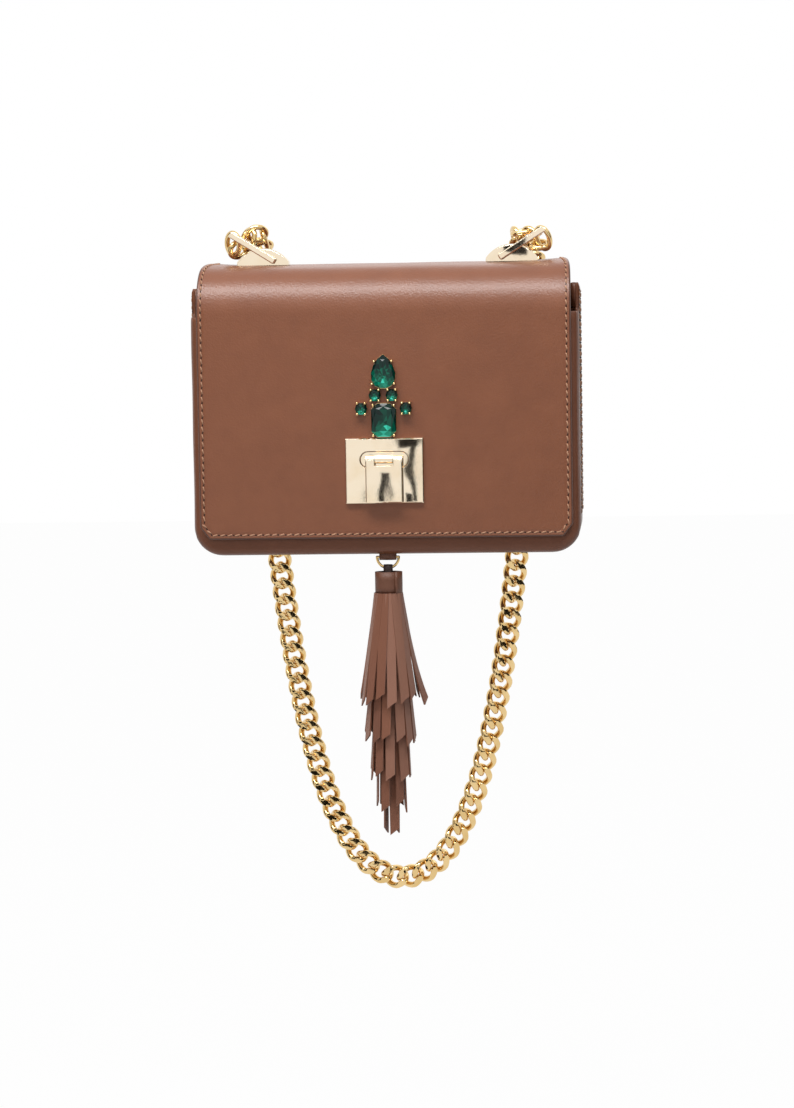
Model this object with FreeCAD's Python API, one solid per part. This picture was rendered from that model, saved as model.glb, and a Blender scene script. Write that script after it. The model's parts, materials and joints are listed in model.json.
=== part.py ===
import FreeCAD, Part
import math
import os

# Lengths are in millimetres and angles in degrees.
# +Z is up, +Y is the back, and the base's centre is the origin.

V = FreeCAD.Vector

# Shared clearances and overruns
overrun = 5.0
glue_gap = 0.1
pin_gap = 0.06
fixing_gap = 0.1

# Body
body_width = 203.0
body_depth = 66.0
crest_height = 152.0
corner_radius = 15.0
leather = 2.6
rim_depth = 11.0
edge_roll = 5.0
side_drop = 12.0
front_edge_drop = 1.0
back_edge_drop = 0.5
board = 1.5
board_margin = 5.0
lining_thick = 0.8
lining_drop = 4.0

# Flap and top strip
flap_width = 194.5
flap_thick = 3.4
flap_front_gap = 0.6
flap_bottom = 8.8
flap_corner_x = 5.0
flap_corner_z = 6.5
flap_skin = 1.3
flap_board_thick = 1.0
flap_board_inset = 4.0
front_bend = 26.0
back_bend = 20.0
fold_from_bend = 0.5
fold_slit = 0.3
strip_overlap = 36.0
narrowing_radius = 60.0

# Strap fittings
fitting_inset = 31.25
fitting_y = 2.0
lug_chord = 27.5
lug_height = 9.2
lug_end = 2.0
lug_thick = 8.0
lug_chamfer = 0.6
pivot_in = 5.2
pivot_up = 2.9
ring_pin = 3.2
ring_bar = 3.3
ring_leg = 3.0
ring_side_gap = 0.4
ring_reach = 24.6
ring_angle = 32.0
ring_chamfer = 0.4
anchor_plate = 1.0
screw_d = 2.0
screw_head_d = 4.0
screw_head = 1.2
screw_grip = 3.2
lug_screw_shares = (-0.38, 0.25)

# Chain
wire = 3.0
link_half_width = 5.0
link_twist = 50.0
link_pitch = 8.8
link_play = 0.6
catenary = 22.7
strap_count = 82
strap_rise = 3.0
chain_gap = 0.8
swivel_turn = -9.0
swivel_play = 0.6
heap_play = 0.4
heap_ring_shares = ((-0.85, 0, 0.38), (-0.87, 0.5, 0.27), (-0.85, 0.5, -0.3))
heap_strap_share = (0.1, 0.9, -0.47)
end_link_seat = 1.0
end_link_play = 1.7

# Lock
lock_width = 40.6
lock_height = 33.7
lock_bottom = 27.1
lock_thick = 2.2
lock_chamfer = 0.5
lock_screw_shares = (0.41, 0.4)
lock_screw_grip = 1.3
lock_head_d = 4.4
pill_width = 25.6
pill_height = 8.7
pill_gap = 0.4
pill_recess = 0.9
hasp_width = 19.2
hasp_bottom = 27.6
hasp_gap = 0.3
hasp_thick = 3.7
hasp_chamfer = 0.5
hinge_z = 49.8
hinge_r = 1.9
hinge_gap = 0.15
hinge_pin = 1.2
knuckle = 9.2
knuckle_gap = 0.3
window_drop = 3.1

# Magnetic snap
snap_d = 16.0
snap_stud_thick = 1.6
snap_nub_d = 5.0
snap_nub = 1.5
snap_hole_d = 6.4
snap_magnet_d = 13.0
snap_magnet = 1.2
snap_magnet_hole_d = 8.0

# Gems
setting_base = 1.0
setting_rim = 0.2
claw_d = 1.4
claw_gap = 0.08
gem_culet = 1.6
gem_crown = 1.5
gem_culet_share = 0.62
gem_table_share = 0.6
pear_width = 12.7
pear_height = 17.4
pear_bottom = 86.7
pear_shares = ((0, 1), (0.22, 0.87), (0.39, 0.68), (0.49, 0.45), (0.47, 0.24), (0.33, 0.07), (0.12, 0),
               (-0.12, 0), (-0.33, 0.07), (-0.47, 0.24), (-0.49, 0.45), (-0.39, 0.68), (-0.22, 0.87))
pear_claw_edges = (1, 4, 8, 11)
octagon_width = 12.8
octagon_height = 17.3
octagon_bottom = 61.5
octagon_shares = ((0.26, 0), (0.5, 0.17), (0.5, 0.83), (0.26, 1),
                  (-0.26, 1), (-0.5, 0.83), (-0.5, 0.17), (-0.26, 0))
octagon_claw_edges = (0, 2, 4, 6)
round_d = 5.6
round_sides = 10
round_claw_edges = (1, 3, 6, 8)
round_inner_x = 4.4
round_inner_z = 83.1
round_outer_x = 11.6
round_outer_z = 76.2

# Tassel
tassel_back = 2.7
tab_width = 8.9
tab_thick = 0.9
d_ring_wire = 1.4
d_ring_width = 12.8
d_ring_drop = 1.8
loop_width = 4.6
loop_thick = 0.95
loop_gap = 0.25
cap_r = 7.6
cap_height = 12.0
cap_wall = 1.0
cap_gap = 1.3
cap_fillet = 0.8
strip_width = 3.8
strip_thick = 0.8
strip_slant = 3.5
strip_step = 3.0
tier_radii = (6.1, 4.75, 3.4, 1.3, 0)
tier_counts = (9, 7, 5, 2, 1)
tier_drops = (80.0, 101.0, 121.0, 137.0, 149.0)
tier_tilts = (6.2, 5.2, 4.2, 2.4, 0)
tier_turns = (0, 26.0, 36.0, 0, 0)

# Places that follow from the sizes
half_width = body_width / 2
half_depth = body_depth / 2
flap_in_y = -half_depth - flap_front_gap
flap_out_y = flap_in_y - flap_thick
bend_y = flap_out_y + front_bend
bend_z = crest_height - front_bend
fold_y = bend_y + fold_from_bend
back_out_y = half_depth + glue_gap + flap_thick
back_bend_y = back_out_y - back_bend
back_bend_z = crest_height - back_bend
side_top = crest_height - side_drop
front_top = bend_z - front_edge_drop
back_top = back_bend_z - back_edge_drop
lining_top = front_top - lining_drop
board_y = half_depth - leather - glue_gap
lining_y = board_y - board - glue_gap
lining_x = half_width - leather - glue_gap
lining_z = leather + glue_gap + board + glue_gap
lining_radius = corner_radius - leather - board
far = body_width + body_depth + crest_height
lock_front_y = flap_out_y - lock_thick
lock_z = lock_bottom + lock_height / 2
hinge_y = lock_front_y - hinge_gap - hinge_r
fitting_x = flap_width / 2 - fitting_inset
pivot_x = fitting_x - pivot_in
pivot_z = crest_height + pivot_up
chain_y = back_out_y + chain_gap + wire / 2 + link_half_width * math.radians(link_twist) / 2
link_half_length = (link_pitch + wire + link_play) / 2
strap_top = crest_height + strap_rise
strap_half = strap_count * link_pitch / 2
strap_sag = math.hypot(catenary, strap_half) - catenary
strap_x = catenary * math.asinh(strap_half / catenary)
swivel_axis_z = strap_top + link_half_length - link_pitch / 2 - wire - swivel_play
tassel_y = -half_depth + edge_roll + tassel_back
ring_r = (d_ring_width - d_ring_wire) / 2
cap_top = -d_ring_drop - ring_r - d_ring_wire / 2 - cap_gap
cap_bottom = cap_top - cap_height


def box(x0, x1, y0, y1, z0, z1):
    return Part.makeBox(x1 - x0, y1 - y0, z1 - z0, V(x0, y0, z0))


def rod(start, axis, radius, length):
    return Part.makeCylinder(radius, length, start, axis)


def polygon_face(points):
    return Part.Face(Part.makePolygon(points + points[:1]))


def mirrored(shape):
    return shape.mirror(V(0, 0, 0), V(1, 0, 0))


def save(name, shapes):
    solids = []
    for shape in shapes:
        solids.extend(shape.Solids)
    whole = solids[0] if len(solids) == 1 else Part.makeCompound(solids)
    whole.exportStep("parts/" + name + ".step")
    print(name, len(solids), round(sum(s.Volume for s in solids), 1), all(s.isValid() for s in solids))


# Bag outline, open box walls and boards

def tub_face(half, bottom, top, radius, y):
    turn = radius * (1 - math.sqrt(0.5))
    x = half - radius
    z = bottom + radius
    left_turn = V(-half + turn, y, bottom + turn)
    right_turn = V(half - turn, y, bottom + turn)
    edges = [
        Part.makeLine(V(-half, y, top), V(-half, y, z)),
        Part.Arc(V(-half, y, z), left_turn, V(-x, y, bottom)).toShape(),
        Part.makeLine(V(-x, y, bottom), V(x, y, bottom)),
        Part.Arc(V(x, y, bottom), right_turn, V(half, y, z)).toShape(),
        Part.makeLine(V(half, y, z), V(half, y, top)),
        Part.makeLine(V(half, y, top), V(-half, y, top)),
    ]
    return Part.Face(Part.Wire(edges))


def tub(half, bottom, top, radius, y0, y1):
    return tub_face(half, bottom, top, radius, y0).extrude(V(0, y1 - y0, 0))


def pan(side, top):
    face_y = side * half_depth
    rim_y = side * (half_depth - rim_depth)
    solid = tub(half_width, 0, top, corner_radius, face_y, rim_y)
    edges = []
    for e in solid.Edges:
        b = e.BoundBox
        on_face = abs(b.YMin - face_y) < glue_gap and abs(b.YMax - face_y) < glue_gap
        if on_face and b.ZMin < top - glue_gap:
            edges.append(e)
    solid = solid.makeFillet(edge_roll, edges)
    inner_y = side * (half_depth - leather)
    past_y = side * (half_depth - rim_depth - overrun)
    hollow = tub(half_width - leather, leather, top + overrun, corner_radius - leather, inner_y, past_y)
    return solid.cut(hollow)


def front_panel():
    pocket = rod(V(0, -half_depth, lock_z), V(0, 1, 0), snap_d / 2 + fixing_gap, snap_stud_thick + glue_gap)
    return pan(-1, front_top).cut(pocket)


def gusset():
    y = half_depth - rim_depth
    outer = tub(half_width, 0, side_top, corner_radius, -y, y)
    past = y + overrun
    inner = tub(half_width - leather, leather, side_top + overrun, corner_radius - leather, -past, past)
    return outer.cut(inner)


def panel_board(side, top):
    half = half_width - leather - board_margin
    bottom = leather + board_margin
    return tub(half, bottom, top - board_margin, corner_radius, side * board_y, side * (board_y - board))


def base_board():
    x = half_width - corner_radius
    z = leather + glue_gap
    return box(-x, x, -board_y, board_y, z, z + board)


def lining():
    outer = tub(lining_x, lining_z, lining_top, lining_radius, -lining_y, lining_y)
    y = lining_y - lining_thick
    half = lining_x - lining_thick
    inner = tub(half, lining_z + lining_thick, lining_top + overrun, lining_radius - lining_thick, -y, y)
    return outer.cut(inner)


# Flap and top strip, cut to one plan

def plan(inset):
    x = flap_width / 2 - inset
    run = fold_y - flap_in_y
    turn = math.asin(run / narrowing_radius)
    drop = narrowing_radius * (1 - math.cos(turn))
    half = turn / 2
    a = V(x, flap_in_y, -far)
    b = V(x - drop, fold_y, -far)
    c = V(x - 2 * drop, fold_y + run, -far)
    ab = V(x - narrowing_radius * (1 - math.cos(half)), flap_in_y + narrowing_radius * math.sin(half), -far)
    bc = V(c.x + narrowing_radius * (1 - math.cos(half)), c.y - narrowing_radius * math.sin(half), -far)
    first = V(x, -far, -far)
    last = V(c.x, far, -far)

    def other(p):
        return V(-p.x, p.y, p.z)

    edges = [
        Part.makeLine(other(first), first),
        Part.makeLine(first, a),
        Part.Arc(a, ab, b).toShape(),
        Part.Arc(b, bc, c).toShape(),
        Part.makeLine(c, last),
        Part.makeLine(last, other(last)),
        Part.makeLine(other(last), other(c)),
        Part.Arc(other(c), other(bc), other(b)).toShape(),
        Part.Arc(other(b), other(ab), other(a)).toShape(),
        Part.makeLine(other(a), other(first)),
    ]
    return Part.Face(Part.Wire(edges)).extrude(V(0, 0, 2 * far))


def bent_sheet(flat_y, y, z, out_r, in_r, side, end_z):
    # side is -1 where the sheet bends down at the front and 1 at the back
    diagonal = math.sqrt(0.5)
    top_out = V(-far, y, z + out_r)
    top_in = V(-far, y, z + in_r)
    mid_out = V(-far, y + side * out_r * diagonal, z + out_r * diagonal)
    mid_in = V(-far, y + side * in_r * diagonal, z + in_r * diagonal)
    low_out = V(-far, y + side * out_r, z)
    low_in = V(-far, y + side * in_r, z)
    start_out = V(-far, flat_y, z + out_r)
    start_in = V(-far, flat_y, z + in_r)
    end_out = V(-far, y + side * out_r, end_z)
    end_in = V(-far, y + side * in_r, end_z)
    edges = [
        Part.makeLine(start_out, top_out),
        Part.Arc(top_out, mid_out, low_out).toShape(),
        Part.makeLine(low_out, end_out),
        Part.makeLine(end_out, end_in),
        Part.makeLine(end_in, low_in),
        Part.Arc(low_in, mid_in, top_in).toShape(),
        Part.makeLine(top_in, start_in),
        Part.makeLine(start_in, start_out),
    ]
    return Part.Face(Part.Wire(edges)).extrude(V(2 * far, 0, 0))


def flap_layer(outer, inner, inset):
    start = fold_y - fold_slit / 2
    bottom = flap_bottom + inset
    sheet = bent_sheet(start, bend_y, bend_z, front_bend - outer, front_bend - inner, -1, bottom)
    if inset:
        sheet = sheet.cut(box(-far, far, start - inset, far, -far, far))
    x = flap_width / 2 - inset
    outline = polygon_face([
        V(-x, -far, far), V(-x, -far, bottom + flap_corner_z), V(-x + flap_corner_x, -far, bottom),
        V(x - flap_corner_x, -far, bottom), V(x, -far, bottom + flap_corner_z), V(x, -far, far),
    ]).extrude(V(0, 2 * far, 0))
    return sheet.common(plan(inset)).common(outline)


def lock_screw_places():
    x = lock_width * lock_screw_shares[0]
    z = lock_height * lock_screw_shares[1]
    return [(i * x, lock_z + j * z) for i in (-1, 1) for j in (-1, 1)]


def flap_holes(radius):
    return [rod(V(x, flap_in_y + overrun, z), V(0, -1, 0), radius, flap_thick + overrun + lock_screw_grip)
            for x, z in lock_screw_places()]


def flap_outer():
    return flap_layer(0, flap_skin, 0).cut(flap_holes(screw_d / 2 + fixing_gap))


def snap_hole():
    depth = flap_thick - flap_skin + overrun
    return rod(V(0, flap_in_y + overrun, lock_z), V(0, -1, 0), snap_d / 2 + fixing_gap, depth)


def flap_board():
    start = flap_skin + glue_gap
    layer = flap_layer(start, start + flap_board_thick, flap_board_inset)
    return layer.cut(flap_holes(screw_d / 2 + fixing_gap) + [snap_hole()])


def flap_lining():
    start = flap_skin + glue_gap + flap_board_thick + glue_gap
    layer = flap_layer(start, flap_thick, 0)
    return layer.cut(flap_holes(lock_head_d / 2 + fixing_gap) + [snap_hole()])


def top_strip():
    start = fold_y + fold_slit / 2
    bottom = back_bend_z - strip_overlap
    sheet = bent_sheet(start, back_bend_y, back_bend_z, back_bend, back_bend - flap_thick, 1, bottom)
    holes = []
    for side in (-1, 1):
        for x in lug_screw_places():
            holes.append(rod(V(side * x, fitting_y, crest_height - flap_thick - overrun), V(0, 0, 1),
                             screw_d / 2 + fixing_gap, flap_thick + 2 * overrun))
    return sheet.common(plan(0)).cut(holes)


# Strap fittings, made for the right side

def lug_screw_places():
    return [fitting_x + share * lug_chord for share in lug_screw_shares]


def lug():
    x0 = fitting_x - lug_chord / 2
    x1 = fitting_x + lug_chord / 2
    y = fitting_y - lug_thick / 2
    z0 = crest_height
    z1 = crest_height + lug_end
    edges = [
        Part.makeLine(V(x0, y, z0), V(x1, y, z0)),
        Part.makeLine(V(x1, y, z0), V(x1, y, z1)),
        Part.Arc(V(x1, y, z1), V(fitting_x, y, crest_height + lug_height), V(x0, y, z1)).toShape(),
        Part.makeLine(V(x0, y, z1), V(x0, y, z0)),
    ]
    solid = Part.Face(Part.Wire(edges)).extrude(V(0, lug_thick, 0))
    rounded = [e for e in solid.Edges if e.BoundBox.ZMax > z1 + lug_chamfer]
    solid = solid.makeChamfer(lug_chamfer, rounded)
    bore_r = ring_pin / 2 + pin_gap
    hole_r = screw_d / 2 + fixing_gap
    bore = rod(V(pivot_x, y - overrun, pivot_z), V(0, 1, 0), bore_r, lug_thick + 2 * overrun)
    holes = [rod(V(x, fitting_y, crest_height), V(0, 0, 1), hole_r, screw_grip + fixing_gap)
             for x in lug_screw_places()]
    return solid.cut([bore] + holes)


def ring():
    bar = ring_bar / 2
    inner_y = lug_thick / 2 + ring_side_gap
    outer_y = inner_y + ring_leg
    legs = []
    for side in (-1, 1):
        y0, y1 = sorted((side * inner_y, side * outer_y))
        leg = box(-bar, ring_reach + bar, y0, y1, -bar, bar)
        legs.append(leg.makeChamfer(ring_chamfer, leg.Edges))
    pin = rod(V(0, -inner_y - ring_leg / 2, 0), V(0, 1, 0), ring_pin / 2, 2 * inner_y + ring_leg)
    end = rod(V(ring_reach, -inner_y - ring_leg / 2, 0), V(0, 1, 0), bar, 2 * inner_y + ring_leg)
    frame = legs[0].fuse([legs[1], pin, end])
    frame.rotate(V(0, 0, 0), V(0, 1, 0), -ring_angle)
    frame.translate(V(pivot_x, fitting_y, pivot_z))
    return frame


def anchor_plate_solid():
    top = crest_height - flap_thick - glue_gap
    plate = box(fitting_x - lug_chord / 2, fitting_x + lug_chord / 2, fitting_y - lug_thick / 2,
                fitting_y + lug_thick / 2, top - anchor_plate, top)
    holes = [rod(V(x, fitting_y, top - anchor_plate - overrun), V(0, 0, 1), screw_d / 2 + fixing_gap,
                 anchor_plate + 2 * overrun) for x in lug_screw_places()]
    return plate.cut(holes)


def lug_screws():
    under = crest_height - flap_thick - glue_gap - anchor_plate
    screws = []
    for x in lug_screw_places():
        shank = rod(V(x, fitting_y, under - screw_head), V(0, 0, 1), screw_d / 2,
                    crest_height + screw_grip - under + screw_head)
        head = rod(V(x, fitting_y, under - screw_head), V(0, 0, 1), screw_head_d / 2, screw_head)
        screws.append(shank.fuse(head))
    return screws


# Chain links: a closed loop of tangent arcs, swept by turning a circle about each arc's axis

def twisted_point(phi, twist):
    across = link_half_width * math.sin(phi)
    turn = twist * math.cos(phi)
    return V(link_half_length * math.cos(phi), across * math.cos(turn), across * math.sin(turn))


def twisted_tangent(phi, twist):
    across = link_half_width * math.sin(phi)
    rate = link_half_width * math.cos(phi)
    turn = twist * math.cos(phi)
    turn_rate = -twist * math.sin(phi)
    t = V(-link_half_length * math.sin(phi),
          rate * math.cos(turn) - across * math.sin(turn) * turn_rate,
          rate * math.sin(turn) + across * math.cos(turn) * turn_rate)
    return t.normalize()


def biarc(p0, t0, p1, t1):
    v = p1 - p0
    t = t0 + t1
    k = 2 * (1 - t0.dot(t1))
    reach = (-v.dot(t) + math.sqrt(v.dot(t) ** 2 + k * v.dot(v))) / k
    q0 = p0 + t0 * reach
    q1 = p1 - t1 * reach
    middle = (q0 + q1) * 0.5
    return [(p0, t0, middle), (middle, (q1 - q0).normalize(), p1)]


def arc_tube(start, tangent, end):
    chord = end - start
    normal = chord - tangent * chord.dot(tangent)
    normal.normalize()
    radius = chord.dot(chord) / (2 * chord.dot(normal))
    sweep = 2 * math.degrees(math.atan2(chord.dot(normal), chord.dot(tangent)))
    circle = Part.Wire(Part.makeCircle(wire / 2, start, tangent))
    return circle.revolve(start + normal * radius, tangent.cross(normal), sweep)


def link(twist):
    twist = math.radians(twist)
    faces = []
    quarter = math.pi / 2
    for k in range(4):
        a = k * quarter
        b = a + quarter
        for start, tangent, end in biarc(twisted_point(a, twist), twisted_tangent(a, twist),
                                         twisted_point(b, twist), twisted_tangent(b, twist)):
            faces.extend(arc_tube(start, tangent, end).Faces)
    shell = Part.makeShell(faces)
    shell.sewShape()
    solid = Part.makeSolid(shell)
    if solid.Volume < 0:
        solid.reverse()
    return solid


def placed(shape, start, end, across):
    along = (end - start).normalize()
    side = across - along * across.dot(along)
    side.normalize()
    up = along.cross(side)
    m = FreeCAD.Matrix(along.x, side.x, up.x, (start.x + end.x) / 2,
                       along.y, side.y, up.y, (start.y + end.y) / 2,
                       along.z, side.z, up.z, (start.z + end.z) / 2,
                       0, 0, 0, 1)
    copy = shape.copy()
    copy.Placement = FreeCAD.Placement(m)
    return copy


def strap_joint(i):
    s = i * link_pitch - strap_half
    rise = math.hypot(catenary, s) - catenary
    return V(catenary * math.asinh(s / catenary), chain_y, strap_top - strap_sag + rise)


def strap_links(curb):
    links = []
    for i in range(1, strap_count - 1):
        start = strap_joint(i)
        end = strap_joint(i + 1)
        along = end - start
        links.append(placed(curb, start, end, V(-along.z, 0, along.x)))
    return links


def swivel_links(plain):
    turn = math.radians(swivel_turn)
    across = V(math.sin(turn), math.cos(turn), 0)
    return [placed(plain, strap_joint(i), strap_joint(i + 1), across) for i in (0, strap_count - 1)]


def ring_end():
    angle = math.radians(ring_angle)
    return V(pivot_x + ring_reach * math.cos(angle), fitting_y, pivot_z + ring_reach * math.sin(angle))


def heap_points():
    step = 2 * link_half_length - wire - heap_play
    lead = V(*heap_ring_shares[0]).normalize() * (link_half_length - wire - heap_play)
    points = [ring_end() + V(-end_link_seat, 0, end_link_play) - lead]
    for share in heap_ring_shares:
        points.append(points[-1] + V(*share).normalize() * step)
    last = V(strap_x, chain_y, swivel_axis_z)
    before = last - V(*heap_strap_share).normalize() * step
    gap = before - points[-1]
    count = max(2, math.ceil(gap.Length / (2 * step)))
    aside = V(-gap.y, gap.x, 0).normalize() * math.sqrt((count * step) ** 2 - gap.dot(gap) / 4)
    turn = (points[-1] + before) * 0.5 + aside
    for start, end in ((points[-1], turn), (turn, before)):
        points.extend(start + (end - start) * ((i + 1) / count) for i in range(count))
    return points + [last]


def end_links(plain):
    points = heap_points()
    links = []
    for i in range(len(points) - 1):
        along = (points[i + 1] - points[i]).normalize()
        across = along.cross(V(0, 0, 1))
        if i % 2 == 0:
            across = along.cross(across)
        links.append(placed(plain, points[i] - along * (wire + heap_play), points[i + 1], across))
    return links


# Lock and snap

def pill(width, height, y, depth):
    r = height / 2
    x = width / 2 - r
    body = box(-x, x, y - depth, y, hinge_z - r, hinge_z + r)
    ends = [rod(V(i * x, y, hinge_z), V(0, -1, 0), r, depth) for i in (-1, 1)]
    return body.fuse(ends).removeSplitter()


def front_edges(shape, y):
    return [e for e in shape.Edges
            if abs(e.BoundBox.YMin - y) < glue_gap and abs(e.BoundBox.YMax - y) < glue_gap]


def lock_plate():
    x = lock_width / 2
    plate = box(-x, x, lock_front_y, flap_out_y, lock_bottom, lock_bottom + lock_height)
    plate = plate.makeChamfer(lock_chamfer, front_edges(plate, lock_front_y))
    holes = [rod(V(px, flap_out_y, pz), V(0, -1, 0), screw_d / 2 + fixing_gap, lock_screw_grip + fixing_gap)
             for px, pz in lock_screw_places()]
    seat = pill(pill_width, pill_height, flap_out_y + overrun, lock_thick + 2 * overrun)
    return plate.cut([seat] + holes)


def lock_bracket():
    plug = pill(pill_width - 2 * pill_gap, pill_height - 2 * pill_gap, flap_out_y,
                lock_thick - pill_recess)
    x = knuckle / 2
    barrel = rod(V(-x, hinge_y, hinge_z), V(1, 0, 0), hinge_r, knuckle)
    web = box(-x, x, hinge_y, lock_front_y + pill_recess, hinge_z - hinge_r, hinge_z + hinge_r)
    hole_r = hinge_pin / 2 + pin_gap / 2
    hole = rod(V(-x - overrun, hinge_y, hinge_z), V(1, 0, 0), hole_r, knuckle + 2 * overrun)
    return plug.fuse([barrel, web]).cut(hole)


def hasp():
    x = hasp_width / 2
    back = lock_front_y - hasp_gap
    front = back - hasp_thick
    plate = box(-x, x, front, back, hasp_bottom, hinge_z)
    low_edges = [e for e in front_edges(plate, front) if e.BoundBox.ZMin < hinge_z - hinge_r]
    plate = plate.makeChamfer(hasp_chamfer, low_edges)
    barrel = rod(V(-x, hinge_y, hinge_z), V(1, 0, 0), hinge_r, hasp_width)
    window = knuckle / 2 + knuckle_gap
    low = hinge_z - window_drop
    gap = box(-window, window, front - overrun, back + overrun, low, hinge_z + hinge_r + overrun)
    hole_r = hinge_pin / 2 + pin_gap
    hole = rod(V(-x - overrun, hinge_y, hinge_z), V(1, 0, 0), hole_r, hasp_width + 2 * overrun)
    return plate.fuse(barrel).cut([gap, hole])


def hasp_pin():
    return rod(V(-hasp_width / 2, hinge_y, hinge_z), V(1, 0, 0), hinge_pin / 2, hasp_width)


def lock_screws():
    head = flap_thick - flap_skin - glue_gap - flap_board_thick - glue_gap
    screws = []
    for x, z in lock_screw_places():
        shank = rod(V(x, flap_in_y, z), V(0, -1, 0), screw_d / 2, flap_thick + lock_screw_grip)
        screws.append(shank.fuse(rod(V(x, flap_in_y, z), V(0, -1, 0), lock_head_d / 2, head)))
    return screws


def snap_stud():
    disc = rod(V(0, -half_depth, lock_z), V(0, 1, 0), snap_d / 2, snap_stud_thick)
    return disc.fuse(rod(V(0, -half_depth, lock_z), V(0, -1, 0), snap_nub_d / 2, snap_nub))


def snap_socket():
    depth = flap_thick - flap_skin - glue_gap
    start = V(0, flap_in_y, lock_z)
    disc = rod(start, V(0, -1, 0), snap_d / 2, depth)
    hole = rod(start, V(0, -1, 0), snap_hole_d / 2, depth)
    seat = V(0, flap_in_y - depth + snap_magnet + glue_gap, lock_z)
    cavity = rod(seat, V(0, -1, 0), snap_magnet_d / 2 + glue_gap, snap_magnet + overrun)
    return disc.cut([hole, cavity])


def snap_magnet_ring():
    depth = flap_thick - flap_skin - glue_gap
    seat = V(0, flap_in_y - depth + snap_magnet, lock_z)
    disc = rod(seat, V(0, -1, 0), snap_magnet_d / 2, snap_magnet)
    return disc.cut(rod(seat, V(0, -1, 0), snap_magnet_hole_d / 2, snap_magnet))


# Gems: a polygon drawn in to a culet behind the girdle and to a table in front of it

def outline_points(shares, width, height, x, bottom):
    return [(x + a * width, bottom + b * height) for a, b in shares]


def round_points(x, z):
    points = []
    for k in range(round_sides):
        angle = 2 * math.pi * k / round_sides
        points.append((x + round_d / 2 * math.cos(angle), z + round_d / 2 * math.sin(angle)))
    return points


def middle(points):
    return sum(p[0] for p in points) / len(points), sum(p[1] for p in points) / len(points)


def ring_wire(points, share, y):
    cx, cz = middle(points)
    corners = [V(cx + (x - cx) * share, y, cz + (z - cz) * share) for x, z in points]
    return Part.makePolygon(corners + corners[:1])


def gem(points):
    base = flap_out_y - setting_base - glue_gap
    girdle = base - gem_culet
    table = girdle - gem_crown
    widest = ring_wire(points, 1, girdle)
    low = Part.makeLoft([ring_wire(points, gem_culet_share, base), widest], True, True)
    high = Part.makeLoft([widest, ring_wire(points, gem_table_share, table)], True, True)
    return low.fuse(high)


def setting(points, claw_edges):
    cx, cz = middle(points)
    reach = max(math.hypot(x - cx, z - cz) for x, z in points)
    edge = ring_wire(points, 1 + setting_rim / reach, flap_out_y)
    plate = Part.Face(edge).extrude(V(0, -setting_base, 0))
    pieces = []
    height = setting_base + glue_gap + gem_culet + gem_crown / 2
    for k in claw_edges:
        ax, az = points[k]
        bx, bz = points[(k + 1) % len(points)]
        out = V(bz - az, 0, ax - bx).normalize()
        mid = V((ax + bx) / 2, flap_out_y, (az + bz) / 2)
        if out.dot(mid - V(cx, flap_out_y, cz)) < 0:
            out = out * -1
        foot = mid + out * (claw_d / 2 + claw_gap)
        tip = foot + V(0, -height, 0)
        pieces.append(rod(foot, V(0, -1, 0), claw_d / 2, height))
        pieces.append(Part.makeSphere(claw_d / 2, tip))
    return plate.fuse(pieces)


def round_places():
    inner = [(i * round_inner_x, round_inner_z) for i in (-1, 1)]
    outer = [(i * round_outer_x, round_outer_z) for i in (-1, 1)]
    return inner + outer


# Tassel

def tassel_tab():
    hole = d_ring_wire / 2 + pin_gap
    r = hole + tab_thick
    x = tab_width / 2
    block = box(-x, x, tassel_y - r, tassel_y + r, -d_ring_drop, 0)
    roll = rod(V(-x, tassel_y, -d_ring_drop), V(1, 0, 0), r, tab_width)
    bore = rod(V(-x - overrun, tassel_y, -d_ring_drop), V(1, 0, 0), hole, tab_width + 2 * overrun)
    return block.fuse(roll).cut(bore)


def tassel_ring():
    r = d_ring_wire / 2
    centre = V(0, tassel_y, -d_ring_drop)
    bar = rod(V(-ring_r, tassel_y, -d_ring_drop), V(1, 0, 0), r, 2 * ring_r)
    disc = Part.Face(Part.Wire(Part.makeCircle(r, V(ring_r, tassel_y, -d_ring_drop), V(0, 0, 1))))
    bow = disc.revolve(centre, V(0, 1, 0), math.degrees(math.pi))
    balls = [Part.makeSphere(r, V(i * ring_r, tassel_y, -d_ring_drop)) for i in (-1, 1)]
    return bar.fuse([bow] + balls)


def tassel_loop():
    x = loop_width / 2
    r = d_ring_wire / 2 + loop_gap + loop_thick
    z = -d_ring_drop - ring_r
    block = box(-x, x, tassel_y - r, tassel_y + r, cap_top, z)
    roll = rod(V(-x, tassel_y, z), V(1, 0, 0), r, loop_width)
    groove = Part.makeTorus(ring_r, d_ring_wire / 2 + loop_gap, V(0, tassel_y, -d_ring_drop), V(0, 1, 0))
    return block.fuse(roll).cut(groove)


def tassel_cap():
    solid = rod(V(0, tassel_y, cap_bottom), V(0, 0, 1), cap_r, cap_height)
    rim = [e for e in solid.Edges if e.BoundBox.ZMin > cap_top - cap_fillet]
    solid = solid.makeFillet(cap_fillet, rim)
    depth = cap_height - cap_wall + overrun
    return solid.cut(rod(V(0, tassel_y, cap_bottom - overrun), V(0, 0, 1), cap_r - cap_wall, depth))


def tassel_core():
    height = cap_height - cap_wall - glue_gap
    return rod(V(0, tassel_y, cap_bottom), V(0, 0, 1), cap_r - cap_wall - glue_gap, height)


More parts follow.
